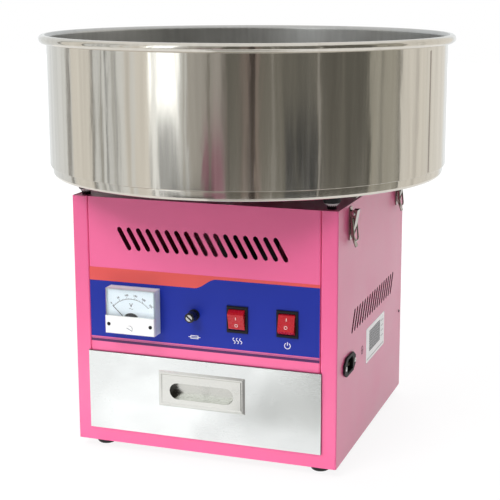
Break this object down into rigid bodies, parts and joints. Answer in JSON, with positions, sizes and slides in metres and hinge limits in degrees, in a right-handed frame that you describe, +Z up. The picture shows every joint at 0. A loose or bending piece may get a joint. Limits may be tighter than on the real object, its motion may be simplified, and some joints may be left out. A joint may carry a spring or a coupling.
{
  "type": "electric cotton candy machine",
  "caption": "Table-top candy-floss machine: square pink casing with meter, fuse, rocker switches and drawer under a round lift-off steel bowl with a spinning head.",
  "frame": {"origin": "on the floor under the middle of the casing, at the underside of the rubber feet", "axes": "+Z up, the spinning head's axis; -Y is the front with the drawer and controls; +X is the side with the mains inlet"},
  "size_m": [0.5197, 0.5198, 0.5088],
  "materials": {
    "pink_paint": "semi-gloss powder paint",
    "stainless": "brushed stainless",
    "bowl_steel": "bright rolled stainless",
    "zinc": "zinc plated",
    "aluminium": "turned",
    "rubber": "matt",
    "black_plastic": "satin",
    "red_plastic": "gloss",
    "white_plastic": "gloss",
    "clear_plastic": "clear",
    "dial_card": "matt",
    "brass": "plated",
    "dark_steel": "dark",
    "motor_paint": "satin"
  },
  "bodies": {
    "casing": {"casing_shell": "pink_paint", "front_panel": "pink_paint", "top_plate": "pink_paint", "back_cover": "pink_paint", "rubber_feet": "rubber", "bumper_cups": "zinc", "bumper_pads": "rubber", "latch_bases": "stainless", "drawer_runners": "stainless", "meter_case": "white_plastic", "meter_window": "clear_plastic", "meter_cover": "white_plastic", "meter_dial": "dial_card", "meter_movement": "black_plastic", "fuse_holder": "black_plastic", "switch_housings": "black_plastic", "inlet_housing": "black_plastic", "inlet_pins": "brass", "hub_cover": "stainless", "motor_bracket": "zinc", "motor_isolators": "rubber", "motor_case": "motor_paint"},
    "spinner": {"drive_shaft": "zinc", "cooling_fan": "black_plastic", "head_base": "aluminium", "heater_ribbon": "dark_steel", "ribbon_posts": "white_plastic", "floss_band": "stainless", "head_lid": "aluminium", "head_nut": "zinc"},
    "bowl": {"bowl_wall": "bowl_steel", "bowl_floor": "bowl_steel", "bowl_keepers": "stainless"},
    "drawer": {"drawer_tray": "stainless", "drawer_front": "stainless", "drawer_pull": "stainless"},
    "heat_switch": {"heat_rocker": "red_plastic"},
    "power_switch": {"power_rocker": "red_plastic"},
    "fuse_cap": {"fuse_knob": "black_plastic"},
    "needle": {"meter_needle": "black_plastic"},
    "zero_adjuster": {"meter_zero_screw": "white_plastic"},
    "lever_front_right": {"latch_lever_front_right": "stainless"},
    "bail_front_right": {"latch_bail_front_right": "stainless"},
    "lever_front_left": {"latch_lever_front_left": "stainless"},
    "bail_front_left": {"latch_bail_front_left": "stainless"},
    "lever_rear_right": {"latch_lever_rear_right": "stainless"},
    "bail_rear_right": {"latch_bail_rear_right": "stainless"},
    "lever_rear_left": {"latch_lever_rear_left": "stainless"},
    "bail_rear_left": {"latch_bail_rear_left": "stainless"}
  },
  "joints": [
    {"name": "head_spin", "type": "hinge", "parent": "casing", "child": "spinner", "pos_m": [0, 0, 0.35], "axis": [0, 0, 1], "continuous": true},
    {"name": "bowl_lift", "type": "slide", "parent": "casing", "child": "bowl", "axis": [0, 0, 1], "range_m": [0, 0.25]},
    {"name": "drawer_slide", "type": "slide", "parent": "casing", "child": "drawer", "axis": [0, -1, 0], "range_m": [0, 0.2]},
    {"name": "heat_rock", "type": "hinge", "parent": "casing", "child": "heat_switch", "pos_m": [0.0454, -0.1635, 0.1827], "axis": [-1, 0, 0], "range_deg": [0, 28]},
    {"name": "power_rock", "type": "hinge", "parent": "casing", "child": "power_switch", "pos_m": [0.1071, -0.1635, 0.1827], "axis": [1, 0, 0], "range_deg": [0, 28]},
    {"name": "fuse_draw", "type": "slide", "parent": "casing", "child": "fuse_cap", "axis": [0, -1, 0], "range_m": [0, 0.03]},
    {"name": "needle_swing", "type": "hinge", "parent": "casing", "child": "needle", "pos_m": [-0.0855, -0.1799, 0.1692], "axis": [0, 1, 0], "range_deg": [0, 95]},
    {"name": "zero_turn", "type": "hinge", "parent": "casing", "child": "zero_adjuster", "pos_m": [-0.0855, -0.1838, 0.1638], "axis": [0, 1, 0], "range_deg": [-40, 40]},
    {"name": "lever_swing_front_right", "type": "hinge", "parent": "casing", "child": "lever_front_right", "pos_m": [0.173, -0.114, 0.309], "axis": [0, 1, 0], "range_deg": [-90, 0]},
    {"name": "bail_swing_front_right", "type": "hinge", "parent": "lever_front_right", "child": "bail_front_right", "pos_m": [0.172, -0.114, 0.303], "axis": [0, -1, 0], "range_deg": [0, 174]},
    {"name": "lever_swing_front_left", "type": "hinge", "parent": "casing", "child": "lever_front_left", "pos_m": [-0.173, -0.114, 0.309], "axis": [0, -1, 0], "range_deg": [-90, 0]},
    {"name": "bail_swing_front_left", "type": "hinge", "parent": "lever_front_left", "child": "bail_front_left", "pos_m": [-0.172, -0.114, 0.303], "axis": [0, 1, 0], "range_deg": [0, 174]},
    {"name": "lever_swing_rear_right", "type": "hinge", "parent": "casing", "child": "lever_rear_right", "pos_m": [0.173, 0.124, 0.309], "axis": [0, 1, 0], "range_deg": [-90, 0]},
    {"name": "bail_swing_rear_right", "type": "hinge", "parent": "lever_rear_right", "child": "bail_rear_right", "pos_m": [0.172, 0.124, 0.303], "axis": [0, -1, 0], "range_deg": [0, 174]},
    {"name": "lever_swing_rear_left", "type": "hinge", "parent": "casing", "child": "lever_rear_left", "pos_m": [-0.173, 0.124, 0.309], "axis": [0, -1, 0], "range_deg": [-90, 0]},
    {"name": "bail_swing_rear_left", "type": "hinge", "parent": "lever_rear_left", "child": "bail_rear_left", "pos_m": [-0.172, 0.124, 0.303], "axis": [0, 1, 0], "range_deg": [0, 174]}
  ]
}
